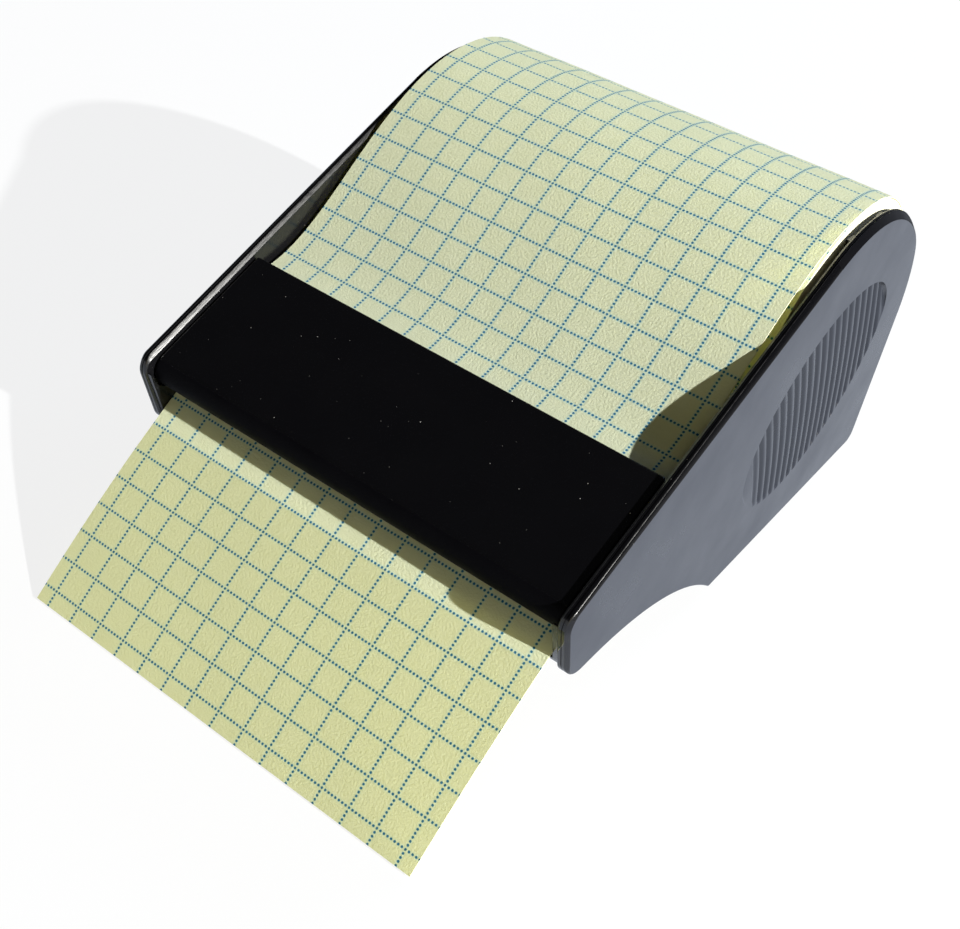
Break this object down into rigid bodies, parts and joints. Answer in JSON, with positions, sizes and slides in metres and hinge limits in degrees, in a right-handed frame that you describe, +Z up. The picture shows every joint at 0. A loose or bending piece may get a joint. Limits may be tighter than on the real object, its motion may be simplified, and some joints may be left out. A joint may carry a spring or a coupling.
{
  "type": "sticky note roll dispenser",
  "caption": "Desk dispenser for a roll of ruled sticky note paper, with sloping side panels, a hinged bar over the paper exit and a note hanging out at the front.",
  "frame": {"origin": "on the table, under the middle of the roll's axis, at the bottom face of the non-slip pad", "axes": "+X to the right seen from the front, -Y to the front where the note comes out, +Z up"},
  "size_m": [0.0808, 0.1294, 0.0615],
  "materials": {
    "panel_abs": "moulded black ABS, satin gloss",
    "bar_abs": "moulded black ABS, high gloss",
    "hub_plastic": "moulded acetal",
    "pad_rubber": "non-slip moulded rubber",
    "steel": "bright steel",
    "note_paper": "uncoated pale yellow-green note paper with a dotted blue grid",
    "core_board": "wound grey-brown board"
  },
  "bodies": {
    "case": {"left_side_panel": "panel_abs", "right_side_panel": "panel_abs", "base_tray": "panel_abs", "nose_platen": "bar_abs", "non_slip_pad": "pad_rubber", "base_screws": "steel", "ballast_bar": "steel", "left_hinge_pin": "steel", "right_hinge_pin": "steel", "guide_axle": "steel", "paper_lead": "note_paper"},
    "roll": {"paper_roll": "note_paper", "roll_core": "core_board", "left_hub": "hub_plastic", "right_hub": "hub_plastic"},
    "guide": {"guide_roller": "hub_plastic"},
    "bar": {"tear_bar": "bar_abs"},
    "note": {"note_tail": "note_paper"}
  },
  "joints": [
    {"name": "roll_spin", "type": "hinge", "parent": "case", "child": "roll", "pos_m": [0, 0, 0.0343], "axis": [1, 0, 0], "continuous": true},
    {"name": "guide_spin", "type": "hinge", "parent": "case", "child": "guide", "pos_m": [0, -0.0481, 0.03388], "axis": [1, 0, 0], "continuous": true},
    {"name": "bar_hinge", "type": "hinge", "parent": "case", "child": "bar", "pos_m": [0, -0.07075, 0.02975], "axis": [1, 0, 0], "range_deg": [0, 95]},
    {"name": "note_pull", "type": "slide", "parent": "case", "child": "note", "axis": [0, -1, 0], "range_m": [0, 0.04]}
  ],
  "couplings": [
    {"joint": "guide_spin", "follows": "roll_spin", "ratio": 6.65}
  ]
}
